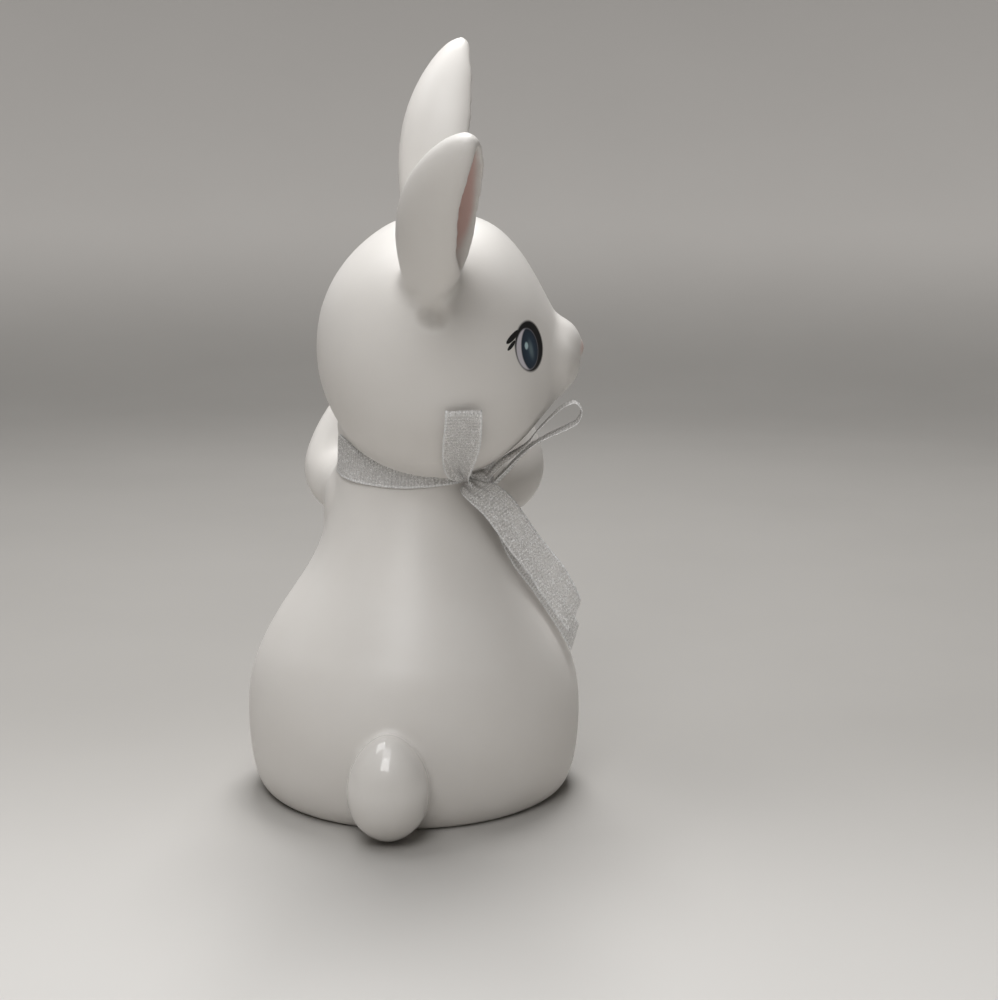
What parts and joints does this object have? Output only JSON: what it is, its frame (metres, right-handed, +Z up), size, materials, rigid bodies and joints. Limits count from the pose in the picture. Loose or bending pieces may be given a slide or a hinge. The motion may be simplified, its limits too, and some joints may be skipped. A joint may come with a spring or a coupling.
{
  "type": "ceramic animal figurine",
  "caption": "White ceramic rabbit figurine sitting up with its head turned over one shoulder, with a sheer ribbon tied in a bow at its neck.",
  "frame": {"origin": "middle of the body's flat foot, on the surface that the figurine stands on", "axes": "+Z up, -Y the way the chest faces, -X the rabbit's own right, to which the head is turned"},
  "size_m": [0.0924, 0.1223, 0.2017],
  "materials": {
    "bisque_figure": "satin white bisque",
    "glazed_tail": "clear gloss glaze over white",
    "organza_ribbon": "sheer silvery white organza"
  },
  "bodies": {
    "root": {"body": "bisque_figure", "head": "bisque_figure", "ear_left": "bisque_figure", "ear_right": "bisque_figure", "arm_left": "bisque_figure", "arm_right": "bisque_figure", "hind_foot_left": "bisque_figure", "hind_foot_right": "bisque_figure", "tail": "glazed_tail", "ribbon_neck_band": "organza_ribbon", "ribbon_knot": "organza_ribbon", "ribbon_loop_upright": "organza_ribbon", "ribbon_loop_side": "organza_ribbon", "ribbon_tail_front": "organza_ribbon", "ribbon_tail_back": "organza_ribbon"}
  },
  "joints": []
}
